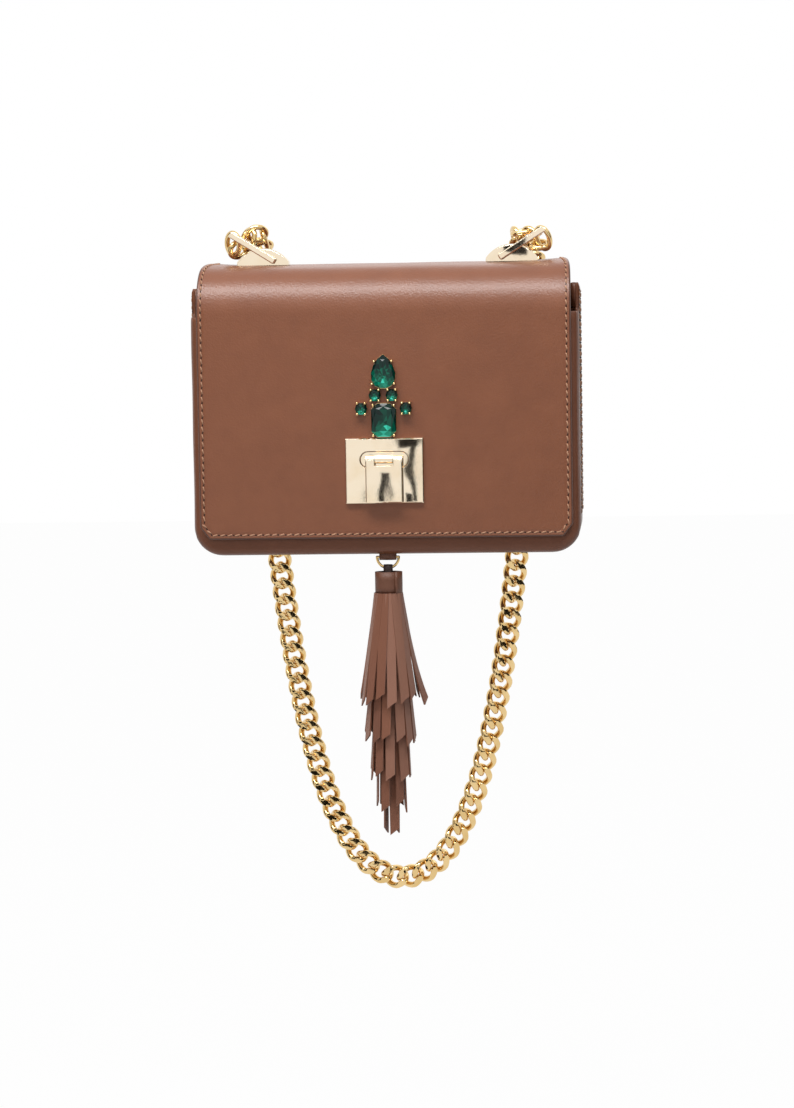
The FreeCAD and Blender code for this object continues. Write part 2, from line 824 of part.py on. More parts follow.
def fringe_tier(tier):
    strips = []
    count = tier_counts[tier]
    top = cap_bottom - glue_gap
    half = strip_width / 2
    for k in range(count):
        length = top + tier_drops[tier] - strip_step * (5 * k % 4) / 4
        tip = V(half, 0, strip_slant - length)
        face = polygon_face([V(-half, 0, 0), V(half, 0, 0), tip, V(-half, 0, -length)])
        strip = face.extrude(V(0, strip_thick, 0))
        strip.translate(V(0, -strip_thick / 2, 0))
        strip.rotate(V(0, 0, 0), V(1, 0, 0), -tier_tilts[tier])
        strip.translate(V(0, -tier_radii[tier], 0))
        strip.rotate(V(0, 0, 0), V(0, 0, 1), 360 * k / count + tier_turns[tier])
        strip.translate(V(0, tassel_y, top))
        strips.append(strip)
    return strips


def main():
    os.makedirs("parts", exist_ok=True)
    curb = link(link_twist)
    plain = link(0)
    heap = end_links(plain)
    pear = outline_points(pear_shares, pear_width, pear_height, 0, pear_bottom)
    octagon = outline_points(octagon_shares, octagon_width, octagon_height, 0, octagon_bottom)

    save("front_panel", [front_panel()])
    save("back_panel", [pan(1, back_top)])
    save("gusset", [gusset()])
    save("top_strip", [top_strip()])
    save("front_board", [panel_board(-1, front_top)])
    save("back_board", [panel_board(1, back_top)])
    save("base_board", [base_board()])
    save("lining", [lining()])

    save("anchor_lug_right", [lug()])
    save("anchor_lug_left", [mirrored(lug())])
    save("anchor_ring_right", [ring()])
    save("anchor_ring_left", [mirrored(ring())])
    save("anchor_plates", [anchor_plate_solid(), mirrored(anchor_plate_solid())])
    save("anchor_screws", lug_screws() + [mirrored(s) for s in lug_screws()])
    save("end_links_right", heap)
    save("end_links_left", [mirrored(s) for s in heap])
    save("strap_links", strap_links(curb))
    save("swivel_links", swivel_links(plain))

    save("flap_outer", [flap_outer()])
    save("flap_board", [flap_board()])
    save("flap_lining", [flap_lining()])
    save("lock_plate", [lock_plate()])
    save("lock_bracket", [lock_bracket()])
    save("lock_screws", lock_screws())
    save("hasp", [hasp()])
    save("hasp_pin", [hasp_pin()])
    save("snap_stud", [snap_stud()])
    save("snap_socket", [snap_socket()])
    save("snap_magnet", [snap_magnet_ring()])
    save("pear_gem", [gem(pear)])
    save("pear_setting", [setting(pear, pear_claw_edges)])
    save("octagon_gem", [gem(octagon)])
    save("octagon_setting", [setting(octagon, octagon_claw_edges)])
    save("round_gems", [gem(round_points(x, z)) for x, z in round_places()])
    save("round_settings", [setting(round_points(x, z), round_claw_edges) for x, z in round_places()])

    save("tassel_tab", [tassel_tab()])
    save("tassel_ring", [tassel_ring()])
    save("tassel_loop", [tassel_loop()])
    save("tassel_cap", [tassel_cap()])
    save("tassel_core", [tassel_core()])
    for tier in range(len(tier_counts)):
        save("fringe_tier_" + str(tier + 1), fringe_tier(tier))


main()
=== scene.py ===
import json
import math
import random
from functools import partial

import bmesh
import bpy
import numpy as np
from mathutils import Matrix, Quaternion, Vector, noise

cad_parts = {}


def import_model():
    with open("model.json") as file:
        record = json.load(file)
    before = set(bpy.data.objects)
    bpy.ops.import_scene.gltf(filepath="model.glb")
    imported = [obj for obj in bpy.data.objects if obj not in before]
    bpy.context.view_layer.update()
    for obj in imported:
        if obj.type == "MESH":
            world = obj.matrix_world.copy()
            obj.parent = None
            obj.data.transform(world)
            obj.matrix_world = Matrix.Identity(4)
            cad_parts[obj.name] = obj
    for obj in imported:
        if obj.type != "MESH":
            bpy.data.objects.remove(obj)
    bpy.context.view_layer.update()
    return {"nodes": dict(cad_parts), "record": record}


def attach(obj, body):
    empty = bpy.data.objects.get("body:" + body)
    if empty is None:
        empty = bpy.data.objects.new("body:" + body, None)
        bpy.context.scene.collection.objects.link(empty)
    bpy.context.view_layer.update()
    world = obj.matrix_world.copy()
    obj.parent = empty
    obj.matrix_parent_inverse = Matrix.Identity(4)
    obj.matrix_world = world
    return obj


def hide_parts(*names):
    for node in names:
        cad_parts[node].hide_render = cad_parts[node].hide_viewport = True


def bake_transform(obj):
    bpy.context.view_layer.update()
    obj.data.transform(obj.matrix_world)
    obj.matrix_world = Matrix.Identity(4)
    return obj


# Lengths are in millimetres, which MM turns into Blender's metres. Angles are in degrees.
# The frame is the CAD model's: +X right, +Y back, +Z up, origin at the middle of the base.
MM = 0.001
SEED = 7

# Flap and top strip
flap_half = 97.25
skin_thick = 3.1
flap_out_y = -37.0
flap_in_y = -33.6
flap_bottom = 8.8
flap_corner_x = 5.0
flap_corner_z = 6.5
crest = 152.0
front_bend = 26.0
back_bend = 20.0
back_out_y = 36.5
strip_end = 96.0
fold_y = -10.5
narrowing_radius = 60.0
narrowing_share = 0.4
edge_round = 0.9
saddle_rise = 2.2
saddle_power = 8
saddle_y = 2.0
saddle_run = 22.0
front_sag = 0.6
front_sag_y = -15.0
back_swell = 1.0
back_swell_y = 13.0
swell_run = 7.0
wave_size = 38.0
wave_depth = 0.22
flat_half = 28.0
flat_fade = 20.0
flat_bottom = 20.0
flat_top = 110.0

# Flap's mesh: rows and columns by their distance from the sheet's edge, then spacings along the sheet.
# A rim row's distance and inset are shares of edge_round.
rim_angles = (30, 60, 90)
rim_rows = ((0, 1), (0.13, 0.5), (0.5, 0.13))
lower_rows = (edge_round, 1.5, 1.9, 2.3, 2.7, 3.3, 4.2, 5.3, flap_corner_z, 8.5)
upper_rows = (4.5, 3.3, 2.7, 2.3, 1.9, 1.5, edge_round)
edge_columns = (edge_round, 1.5, 1.9, 2.3, 2.7, 3.3, 4.5, 7.0, 11.0)
middle_columns = 38
front_step = 5.0
front_bend_step = 2.2
crest_step = 1.1
back_bend_step = 2.6
back_step = 4.5

# Textures. A noise has scale, detail and roughness, a bump strength and depth. Stops are a ramp's places.
# A gloss is a range of roughness: for leather the change in it, and for metal a factor.
leather_mottle = (70, 6, 0.6)
leather_stops = (0.25, 0.5, 0.8)
leather_grain = (1500, 2)
leather_pores = 900
leather_creases = (160, 5, 0.6)
leather_gloss = (-0.05, 0.07)
grain_bump = (0.26, 0.3)
pore_bump = (0.2, 0.3)
crease_bump = (0.1, 0.8)
strip_rough = 0.62
strip_stops = (0.1, 0.55, 0.95)
strip_nap = (2200, 3)
strip_fibre = (300, 4, 0.6)
strip_gloss = (0.5, 0.75)
strip_sheen = 0.15
nap_bump = (0.25, 0.3)
fibre_bump = (0.12, 0.6)
metal_tone = (90, 3)
metal_stops = (0.3, 0.6)
metal_wear = (700, 4, 0.65)
metal_gloss = (0.6, 1.6)
metal_wobble = (34, 1)
wobble_depth = 1.2
wear_bump = (0.004, 0.2)
edge_bevel = 0.45
gem_rough = 0.03
gem_stops = (0, 0.3, 0.6, 0.85, 1)
gem_clouds = (260, 2)
gem_gloss = (0.02, 0.09)
gem_ior = 1.6
gem_shine = 0.2
thread_rough = 0.6
thread_twist = (2600, 2)
thread_stops = (0.3, 0.65)
thread_bump = (0.3, 0.2)
cloth_rough = 0.75
cloth_scale = 520
cloth_distortion = 0.6
cloth_stops = (0.2, 0.8)
cloth_bump = (0.3, 0.3)
board_rough = 0.8
board_fibre = (420, 6, 0.7)
board_stops = (0.35, 0.65)
board_bump = (0.2, 0.4)

# Stitches
stitch_inset = 2.3
stitch_pitch = 3.9
stitch_length = 2.9
stitch_r = 0.4
stitch_hole = 0.6
stitch_groove = 0.28
stitch_groove_width = 0.6
stitch_slant = 17.0
stitch_sides = 6
stitch_path_step = 1.0
side_stitch_inset = 2.5
side_stitch_rise = 4.0
# Along a thread: share of its length, of its radius, and its lift in radii
stitch_profile = ((0, 0.35, -0.6), (0.15, 0.9, 0.3), (0.5, 1, 0.55), (0.85, 0.9, 0.3), (1, 0.35, -0.6))

# Body
body_half = 101.5
gusset_half = 22.0
side_top = 140.0
corner_radius = 15.0
body_voxel = 1.25
body_smoothing = 3
body_band = 1.3
body_wave = 0.25
body_wave_size = 30.0
seam_groove = 0.45
seam_width = 0.8
hem_drop = 4.0
hem_inside = 96.0
hem_bend = 2.4
hem_length = 13.0
hem_half = 21.4
hem_bend_points = 5
hem_rows = 19
hem_wave = 0.5
hem_wave_size = 14.0
hem_wave_place = 40.0
hem_wave_rise = 0.5
lining_half = 98.75
lining_half_depth = 28.6
lining_floor = 4.4
lining_top = 121.0
lining_radius = 10.9
lining_thick = 0.8
lining_corner = 4.0
lining_corner_angles = (0, 30, 60, 90)
lining_side_shares = (0.75, 0.5, 0.25, 0, -0.25, -0.5, -0.75)
lining_foot = (0.05, 0.4, 1.2, 3, 6)
lining_step = 7.0
lining_seat = 0.05
lining_wave = 0.35
lining_wave_size = 26.0
lining_draw_in = 0.3

# Chain
wire_r = 1.7
link_half_length = 6.2
link_half_width = 4.9
link_square = 0.74
link_twist = -68.0
link_file = 3.9
link_file_slope = 0.14
link_pitch = 8.8
link_segments = 36
wire_sides = 12
chain_sharp = 32.0
strap_count = 82
strap_turn = 24.0
strap_turn_from = 43
strap_turn_to = 64
catenary = 22.7
strap_top = 155.0
chain_y = 40.98
end_wire_r = 1.45
first_link_across = (0.8, -0.6, 0)
end_half_width = 4.3
end_link_lap = 1.6
heap_right_turn = 100.0
heap_left_turn = 96.0
heap_right = ((81.7, 2, 168), (83, 6, 160), (77, 11, 161.5), (74, 10.5, 168), (68, 14, 167.5),
              (67.5, 20, 163.5), (72, 26, 160), (76, 33, 156.5), (78.05, 39.55, 153.8))
heap_left = ((-81.7, 2, 168), (-83, 6, 160), (-76.5, 10.5, 163), (-73.5, 10, 170), (-67.5, 13.5, 169),
             (-66.5, 19.5, 164.5), (-71.5, 26, 161), (-77, 32, 157), (-78.6, 39.6, 153.85))

# Gems
gem_girdle_y = -39.7
gem_base_y = -38.1
gem_table_y = -41.2
gem_base_share = 0.62
gem_crown_share = 0.84
gem_crown_rise_share = 0.6
gem_table_share = 0.64
gem_star_share = 0.34
gem_heart_share = -0.12
# Each facet's painted light: a middle level, brighter towards the bottom and a little to the right, painted
# shade towards the sides, and a random painted glint up to the spread.
gem_middle_painted_light = 0.5
gem_low_painted_light = 0.62
gem_side_painted_shade = 0.42
gem_right_painted_light = 0.1
gem_glint_spread = 0.26
pear_size = (12.7, 17.4)
pear_bottom = 86.7
pear_shares = ((0, 1), (0.22, 0.87), (0.39, 0.68), (0.49, 0.45), (0.47, 0.24), (0.33, 0.07), (0.12, 0),
               (-0.12, 0), (-0.33, 0.07), (-0.47, 0.24), (-0.49, 0.45), (-0.39, 0.68), (-0.22, 0.87))
octagon_size = (12.8, 17.3)
octagon_bottom = 61.5
octagon_shares = ((0.26, 0), (0.5, 0.17), (0.5, 0.83), (0.26, 1),
                  (-0.26, 1), (-0.5, 0.83), (-0.5, 0.17), (-0.26, 0))
round_d = 6.4
round_sides = 10
round_places = ((-4.4, 83.1), (4.4, 83.1), (-11.6, 76.2), (11.6, 76.2))

# Tassel
tassel_y = -25.3
d_ring_z = -1.8
d_ring_r = 5.7
d_ring_wire = 1.4
tab_width = 8.9
tab_thick = 0.85
loop_width = 4.6
loop_thick = 0.9
tab_play = 0.05
tab_end = 1.0
loop_play = 0.25
loop_tuck = 4.0
strap_bend_points = 9
strap_crown = 1.15
cap_r = 7.6
cap_top = -9.5
cap_bottom = -21.5
cap_sheet = 0.9
cap_turns = 2.6
cap_turn_steps = 40
cap_start = 35.0
cap_pitch_share = 1.05
cap_ripple = 0.12
cap_ripple_size = 5.0
cap_ripple_reach = 6.0
cap_ripple_margin = 4.0
strip_width = 4.9
strip_thick = 0.8
strip_slant = 3.6
strip_uneven = 4.5
strip_tuck = 1.0
strip_curl = 0.6
tier_radii = (7.15, 6.0, 4.9, 3.8, 2.5)
tier_tip_radii = (15.2, 12.8, 10.2, 7.4, 3.6)
tier_counts = (15, 12, 9, 6, 3)
tier_drops = (80.0, 101.0, 121.0, 137.0, 149.0)
tier_turns = (10.0, 28.0, 4.0, 40.0, 15.0)
strip_bow = 0.7
strip_sway = 1.0
strip_twist = 8.0
stray_strips = {3: 4.0}
stray_power = 3
strip_rows = 24
strip_flare_power = 1.1
strip_sharp = 40.0
# Corners of a strip's section, in shares of its width and thickness
strip_section = ((-0.5, -0.5), (0, -0.5), (0.5, -0.5), (0.5, 0.5), (0, 0.5), (-0.5, 0.5))

# Camera, in the photograph's frame of 794 by 1108
view_target = (5.7, -37.0, 0.5)
view_distance = 1500.0
view_height = 576.0
view_azimuth = 4.5
view_elevation = 4.0
view_roll = 0.9
sensor = 36.0

# Floor, backdrop and lamps. A lamp's row: name, place, aim, width and height, power, seen in reflections
floor_z = -330.0
floor_reach = 6000.0
floor_color = (0.6, 0.6, 0.59)
floor_rough = 0.9
floor_white = 0.98
world_color = (1, 0.98, 0.96, 1)
world_strength = 0.2
lamps = (
    ("key", (-120, -560, 990), (0, -30, 100), (1300, 280), 15.0, True),
    ("fill", (-450, -1300, 380), (0, 0, 60), (800, 600), 4.0, False),
    ("rim", (200, 900, 700), (0, 0, 60), (900, 500), 1.0, True),
)

# Dark cards round the object: name, middle, width and height
flag_color = (0.012, 0.011, 0.01)
flags = (
    ("flag_front", (290, -1450, 27), (560, 314)),
    ("flag_patch", (-88, -1450, 22), (28, 26)),
    ("flag_streak", (-80, -1450, -16), (7, 56)),
    ("flag_blob", (-92, -1450, -42), (14, 18)),
    ("flag_hasp", (-124, -1450, -34), (9, 40)),
    ("flag_lug", (16, -1450, 224), (20, 36)),
    ("flag_left", (-620, -1250, 245), (560, 610)),
    ("flag_low", (-760, -1450, -460), (620, 420)),
    ("flag_low_right", (760, -1150, -370), (1500, 540)),
    ("flag_near", (-290, -420, -270), (440, 130)),
    ("flag_right", (1300, -300, 100), (700, 1400)),
    ("flag_far_left", (-1300, -300, 100), (700, 1400)),
)


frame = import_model()
random.seed(SEED)


# Node helpers

def new_material(name, color, metallic, roughness):
    material = bpy.data.materials.new(name)
    material.use_nodes = True
    shader = material.node_tree.nodes["Principled BSDF"]
    shader.inputs["Base Color"].default_value = (*color, 1)
    shader.inputs["Metallic"].default_value = metallic
    shader.inputs["Roughness"].default_value = roughness
    return material, shader


def add_node(material, kind, **values):
    node = material.node_tree.nodes.new(kind)
    for key, value in values.items():
        node.inputs[key.replace("_", " ")].default_value = value
    return node


def join(material, output, socket):
    material.node_tree.links.new(output, socket)


def object_coordinates(material):
    return add_node(material, "ShaderNodeTexCoord").outputs["Object"]


def noise_output(material, scale, detail=2.0, rough=0.5):
    node = add_node(material, "ShaderNodeTexNoise", Scale=scale, Detail=detail, Roughness=rough)
    join(material, object_coordinates(material), node.inputs["Vector"])
    return node.outputs["Fac"]


def cell_output(material, scale):
    node = add_node(material, "ShaderNodeTexVoronoi", Scale=scale)
    join(material, object_coordinates(material), node.inputs["Vector"])
    return node.outputs["Distance"]


def ramp_output(material, source, places, colors):
    node = material.node_tree.nodes.new("ShaderNodeValToRGB")
    elements = node.color_ramp.elements
    while len(elements) < len(places):
        elements.new(0.5)
    for element, place, color in zip(elements, places, colors):
        element.position = place
        element.color = (*color, 1)
    join(material, source, node.inputs["Fac"])
    return node.outputs["Color"]


def range_output(material, source, low, high):
    node = add_node(material, "ShaderNodeMapRange")
    node.inputs["To Min"].default_value = low
    node.inputs["To Max"].default_value = high
    join(material, source, node.inputs["Value"])
    return node.outputs["Result"]


def add_bump(material, shader, heights, normal=None):
    for source, strength, distance in heights:
        node = add_node(material, "ShaderNodeBump", Strength=strength, Distance=distance * MM)
        join(material, source, node.inputs["Height"])
        if normal:
            join(material, normal, node.inputs["Normal"])
        normal = node.outputs["Normal"]
    join(material, normal, shader.inputs["Normal"])


# Materials

def leather(name, dark, middle, light, roughness, shine=0.5):
    material, shader = new_material(name, middle, 0, roughness)
    mottle = noise_output(material, *leather_mottle)
    color = ramp_output(material, mottle, leather_stops, (dark, middle, light))
    join(material, color, shader.inputs["Base Color"])
    grain = noise_output(material, *leather_grain)
    gloss = range_output(material, grain, roughness + leather_gloss[0], roughness + leather_gloss[1])
    join(material, gloss, shader.inputs["Roughness"])
    pores = cell_output(material, leather_pores)
    creases = noise_output(material, *leather_creases)
    add_bump(material, shader, ((grain, *grain_bump), (pores, *pore_bump), (creases, *crease_bump)))
    shader.inputs["Specular IOR Level"].default_value = shine
    return material


def strip_leather(name, dark, middle, light):
    material, shader = new_material(name, dark, 0, strip_rough)
    island = add_node(material, "ShaderNodeNewGeometry").outputs["Random Per Island"]
    color = ramp_output(material, island, strip_stops, (dark, middle, light))
    join(material, color, shader.inputs["Base Color"])
    nap = noise_output(material, *strip_nap)
    fibre = noise_output(material, *strip_fibre)
    join(material, range_output(material, nap, *strip_gloss), shader.inputs["Roughness"])
    add_bump(material, shader, ((nap, *nap_bump), (fibre, *fibre_bump)))
    shader.inputs["Sheen Weight"].default_value = strip_sheen
    return material


def metal(name, color, shade, roughness, wobble, soft_edges=True):
    material, shader = new_material(name, color, 1, roughness)
    tone = ramp_output(material, noise_output(material, *metal_tone), metal_stops, (shade, color))
    join(material, tone, shader.inputs["Base Color"])
    wear = noise_output(material, *metal_wear)
    gloss = range_output(material, wear, roughness * metal_gloss[0], roughness * metal_gloss[1])
    join(material, gloss, shader.inputs["Roughness"])
    edge = None
    if soft_edges:
        edge = add_node(material, "ShaderNodeBevel", Radius=edge_bevel * MM).outputs["Normal"]
    uneven = noise_output(material, *metal_wobble)
    add_bump(material, shader, ((uneven, wobble, wobble_depth), (wear, *wear_bump)), edge)
    return material


def gem_material(name, colors):
    material, shader = new_material(name, colors[1], 0, gem_rough)
    # The facet attribute 'shade' holds each facet's painted light; the ramp turns it into colours from
    # painted shade to painted glints.
    shade = material.node_tree.nodes.new("ShaderNodeAttribute")
    shade.attribute_name = "shade"
    color = ramp_output(material, shade.outputs["Fac"], gem_stops, colors)
    join(material, color, shader.inputs["Base Color"])
    clouds = noise_output(material, *gem_clouds)
    join(material, range_output(material, clouds, *gem_gloss), shader.inputs["Roughness"])
    shader.inputs["IOR"].default_value = gem_ior
    shader.inputs["Specular IOR Level"].default_value = gem_shine
    return material


def thread(name, color, shade):
    material, shader = new_material(name, color, 0, thread_rough)
    twist = noise_output(material, *thread_twist)
    tone = ramp_output(material, twist, thread_stops, (shade, color))
    join(material, tone, shader.inputs["Base Color"])
    add_bump(material, shader, ((twist, *thread_bump),))
    return material


def woven(name, color, shade):
    material, shader = new_material(name, color, 0, cloth_rough)
    threads = []
    for direction in ("X", "Z"):
        wave = add_node(material, "ShaderNodeTexWave", Scale=cloth_scale, Distortion=cloth_distortion)
        wave.bands_direction = direction
        join(material, object_coordinates(material), wave.inputs["Vector"])
        threads.append(wave.outputs["Fac"])
    tone = ramp_output(material, threads[0], cloth_stops, (shade, color))
    join(material, tone, shader.inputs["Base Color"])
    add_bump(material, shader, [(height, *cloth_bump) for height in threads])
    return material


def pressed_board(name, color, shade):
    material, shader = new_material(name, color, 0, board_rough)
    fibre = noise_output(material, *board_fibre)
    tone = ramp_output(material, fibre, board_stops, (shade, color))
    join(material, tone, shader.inputs["Base Color"])
    add_bump(material, shader, ((fibre, *board_bump),))
    return material


bag_leather = leather("bag_leather",
                      (0.185, 0.062, 0.028), (0.203, 0.069, 0.031), (0.221, 0.077, 0.035), 0.34, 0.55)
# The body's leather is a darker copy of the flap's leather: painted shade, for the body that sits back behind
# the flap.
body_leather_painted_shade = leather("body_leather_painted_shade",
                       (0.146, 0.049, 0.022), (0.16, 0.054, 0.025), (0.174, 0.061, 0.029), 0.38, 0.4)
edge_paint = leather("edge_paint",
                     (0.075, 0.026, 0.014), (0.1, 0.036, 0.019), (0.125, 0.046, 0.025), 0.36)
inner_leather = leather("inner_leather",
                        (0.13, 0.05, 0.028), (0.16, 0.064, 0.036), (0.18, 0.075, 0.043), 0.55)
tassel_leather = strip_leather("tassel_leather",
                               (0.13, 0.043, 0.02), (0.195, 0.069, 0.034), (0.26, 0.117, 0.075))
cap_leather = leather("cap_leather",
                      (0.11, 0.042, 0.022), (0.13, 0.05, 0.027), (0.15, 0.059, 0.032), 0.5)
dark_leather = leather("dark_leather",
                       (0.026, 0.013, 0.01), (0.035, 0.018, 0.014), (0.045, 0.024, 0.018), 0.55)
pale_gold = metal("pale_gold", (0.91, 0.78, 0.6), (0.88, 0.73, 0.53), 0.02, 0.16)
chain_gold = metal("chain_gold", (0.81, 0.595, 0.295), (0.72, 0.5, 0.215), 0.07, 0.02, False)
steel = metal("steel", (0.56, 0.56, 0.57), (0.48, 0.48, 0.49), 0.3, 0.05)
magnet = metal("magnet", (0.11, 0.11, 0.115), (0.08, 0.08, 0.085), 0.5, 0.05)
# Gem colours run from dark painted shade to bright painted glints, picked by each facet's painted light.
green_gem = gem_material("green_gem", (
    (0.001, 0.011, 0.009), (0.001, 0.035, 0.023), (0.002, 0.12, 0.07),
    (0.008, 0.34, 0.21), (0.06, 0.74, 0.56)))
tan_thread = thread("tan_thread", (0.5, 0.28, 0.17), (0.34, 0.17, 0.1))
# Needle holes are drawn as dark marks: painted shade, the shade inside each hole.
needle_hole_shade = leather("needle_hole_shade",
                      (0.02, 0.008, 0.005), (0.026, 0.01, 0.006), (0.03, 0.012, 0.008), 0.8)
lining_cloth = woven("lining_cloth", (0.12, 0.068, 0.046), (0.085, 0.046, 0.03))
board = pressed_board("board", (0.46, 0.37, 0.27), (0.36, 0.28, 0.2))

node_materials = {
    "pale_gold": pale_gold, "chain_gold": chain_gold, "steel": steel, "magnet": magnet,
    "green_gem": green_gem, "bag_leather": bag_leather, "lining_leather": inner_leather,
    "lining_cloth": lining_cloth, "board": board, "tassel_leather": cap_leather,
}


def paint_frame():
    for part in frame["record"]["subparts"]:
        node = frame["nodes"][part["node"]]
        node.data.materials.clear()
        node.data.materials.append(node_materials[part["material_slot"]])


# Mesh helpers

def new_piece(name, points, faces, materials, face_slots=None, smooth=True):
    mesh = bpy.data.meshes.new(name)
    mesh.from_pydata([tuple(c * MM for c in p) for p in points], [], faces)
    for material in materials:
        mesh.materials.append(material)
    if face_slots:
        mesh.polygons.foreach_set("material_index", face_slots)
    mesh.polygons.foreach_set("use_smooth", [smooth] * len(faces))
    mesh.validate()
    mesh.update()
    piece = bpy.data.objects.new(name, mesh)
    bpy.context.scene.collection.objects.link(piece)
    return piece


def face_outwards(piece):
    work = bmesh.new()
    work.from_mesh(piece.data)
    bmesh.ops.recalc_face_normals(work, faces=work.faces)
    work.to_mesh(piece.data)
    work.free()


def loft(loops, closed_ends=True, first=0):
    count = len(loops[0])
    points = [p for loop in loops for p in loop]
    faces = []
    for i in range(len(loops) - 1):
        for j in range(count):
            k = (j + 1) % count
            a = first + i * count
            faces.append((a + j, a + k, a + count + k, a + count + j))
    if closed_ends:
        last = first + (len(loops) - 1) * count
        faces.append(tuple(first + j for j in reversed(range(count))))
        faces.append(tuple(last + j for j in range(count)))
    return points, faces


def steps(start, end, spacing):
    count = max(1, math.ceil(abs(end - start) / spacing))
    return [start + (end - start) * i / count for i in range(1, count + 1)]


def soft_noise(point, size, amount):
    return amount * noise.noise(Vector(point) / size)


# Flap skin: one sheet from the flap's lower edge over the crest to the strip's end on the back

front_run = crest - front_bend - flap_bottom
front_arc = front_bend * math.pi / 2
crest_run = (back_out_y - back_bend) - (flap_out_y + front_bend)
back_arc = back_bend * math.pi / 2
back_run = crest - back_bend - strip_end
skin_length = front_run + front_arc + crest_run + back_arc + back_run


def skin_place(s):
    """Outer point (y, z) and inward direction at the distance s from the flap's lower edge."""
    if s < front_run:
        return (flap_out_y, flap_bottom + s), (1, 0)
    s -= front_run
    if s < front_arc:
        a = s / front_bend
        centre = (flap_out_y + front_bend, crest - front_bend)
        out = (-math.cos(a), math.sin(a))
        return (centre[0] + front_bend * out[0], centre[1] + front_bend * out[1]), (-out[0], -out[1])
    s -= front_arc
    if s < crest_run:
        return (flap_out_y + front_bend + s, crest), (0, -1)
    s -= crest_run
    if s < back_arc:
        a = s / back_bend
        centre = (back_out_y - back_bend, crest - back_bend)
        out = (math.sin(a), math.cos(a))
        return (centre[0] + back_bend * out[0], centre[1] + back_bend * out[1]), (-out[0], -out[1])
    s -= back_arc
    return (back_out_y, crest - back_bend - s), (-1, 0)


def arc_drop(run):
    """How far the narrowing's arc has fallen away after a run."""
    return narrowing_radius - math.sqrt(narrowing_radius ** 2 - run ** 2)


def skin_half(s):
    """Half the sheet's width at s: cut corners below, and an S-shaped narrowing over the crest."""
    half = flap_half
    if s < flap_corner_z:
        half -= flap_corner_x * (1 - s / flap_corner_z)
    y = skin_place(s)[0][0] if s > front_run else flap_in_y
    if y <= flap_in_y:
        return half
    if y < fold_y:
        return half - narrowing_share * arc_drop(y - flap_in_y)
    run = fold_y - flap_in_y
    rest = max(0, fold_y + run - y)
    return half - narrowing_share * (2 * arc_drop(run) - arc_drop(rest))


def edge_distance(x, s):
    """Distance from the sheet's cut edge."""
    slope = flap_corner_x / flap_corner_z
    side = flap_half - abs(x)
    corner = (s + side / slope - flap_corner_z) * slope / math.hypot(1, slope)
    return min(skin_half(max(s, flap_corner_z)) - abs(x), s, corner, skin_length - s)


def hill(distance, run):
    """One at no distance, and next to nothing beyond two runs."""
    return math.exp(-(distance / run) ** 2)


def skin_point(x, s, depth):
    """Point of the sheet, with the stitches' groove, slight waves away from the lock, and the soft crest."""
    (y, z), (ny, nz) = skin_place(s)
    d = edge_distance(x, s)
    sunk = depth
    if depth < edge_round:
        sunk += stitch_groove * hill(d - stitch_inset, stitch_groove_width)
        if d > stitch_inset:
            free = max(0, min(1, (abs(x) - flat_half) / flat_fade)) if flat_bottom < z < flat_top else 1
            sunk += free * (soft_noise((x, y, z), wave_size, wave_depth) + wave_depth)
    saddle = saddle_rise * (abs(x) / flap_half) ** saddle_power * hill(y - saddle_y, saddle_run)
    if z > crest - front_bend:
        saddle += back_swell * hill(y - back_swell_y, swell_run)
        saddle -= front_sag * hill(y - front_sag_y, swell_run)
    return x, y + ny * sunk, z + nz * sunk + saddle


def skin_rows():
    """Rows of the sheet from its lower edge: distance along it, and inset on the rounded ends."""
    rows = [(a * edge_round, b * edge_round) for a, b in rim_rows]
    crest_start = front_run + front_arc
    back_start = skin_length - back_run
    inside = list(lower_rows)
    inside += steps(inside[-1], front_run, front_step)
    inside += steps(front_run, crest_start, front_bend_step)
    inside += steps(crest_start, crest_start + crest_run, crest_step)
    inside += steps(crest_start + crest_run, back_start, back_bend_step)
    inside += steps(back_start, skin_length - upper_rows[0], back_step)
    inside += [skin_length - d for d in upper_rows[1:]]
    rows += [(s, 0) for s in inside]
    rows += [(skin_length - s, inset) for s, inset in reversed(rows[:len(rim_rows)])]
    return rows


def skin_loop(s, inset):
    """A row's points round the sheet: outer face, right rim, inner face and left rim."""
    half = skin_half(s) - inset
    inner = half - edge_columns[-1]
    xs = [d - half for d in edge_columns]
    xs += [-inner + 2 * inner * i / middle_columns for i in range(1, middle_columns)]
    xs += [half - d for d in reversed(edge_columns)]
    rim = []
    for angle in rim_angles:
        a = math.radians(angle)
        rim.append((half - edge_round + edge_round * math.sin(a),
                    inset + (edge_round - inset) * (1 - math.cos(a))))
    loop = [skin_point(x, s, inset) for x in xs]
    loop += [skin_point(x, s, depth) for x, depth in rim]
    loop += [skin_point(x, s, skin_thick - depth) for x, depth in reversed(rim)]
    loop += [skin_point(x, s, skin_thick - inset) for x in reversed(xs)]
    loop += [skin_point(-x, s, skin_thick - depth) for x, depth in rim]
    loop += [skin_point(-x, s, depth) for x, depth in reversed(rim)]
    return loop


def fold_blend(piece):
    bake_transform(piece)


def flap_skin():
    loops = [skin_loop(s, inset) for s, inset in skin_rows()]
    across = 2 * len(edge_columns) + middle_columns - 1
    points, faces = loft(loops)
    inner_start = across + 2 * len(rim_angles)
    inner_end = inner_start + across - 1
    slots = []
    for i in range(len(loops) - 1):
        end = i < len(rim_rows) or i >= len(loops) - 1 - len(rim_rows)
        for j in range(len(loops[0])):
            rim = across - 1 <= j < inner_start or j >= inner_end
            slots.append(1 if rim or end else 2 if j >= inner_start else 0)
    slots += [1, 1]
    finishes = [bag_leather, edge_paint, inner_leather]
    skin = new_piece("flap_skin", points, faces, finishes, slots)
    face_outwards(skin)
    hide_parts("flap_outer", "top_strip", "flap_lining")
    fold_blend(skin)


# Stitches

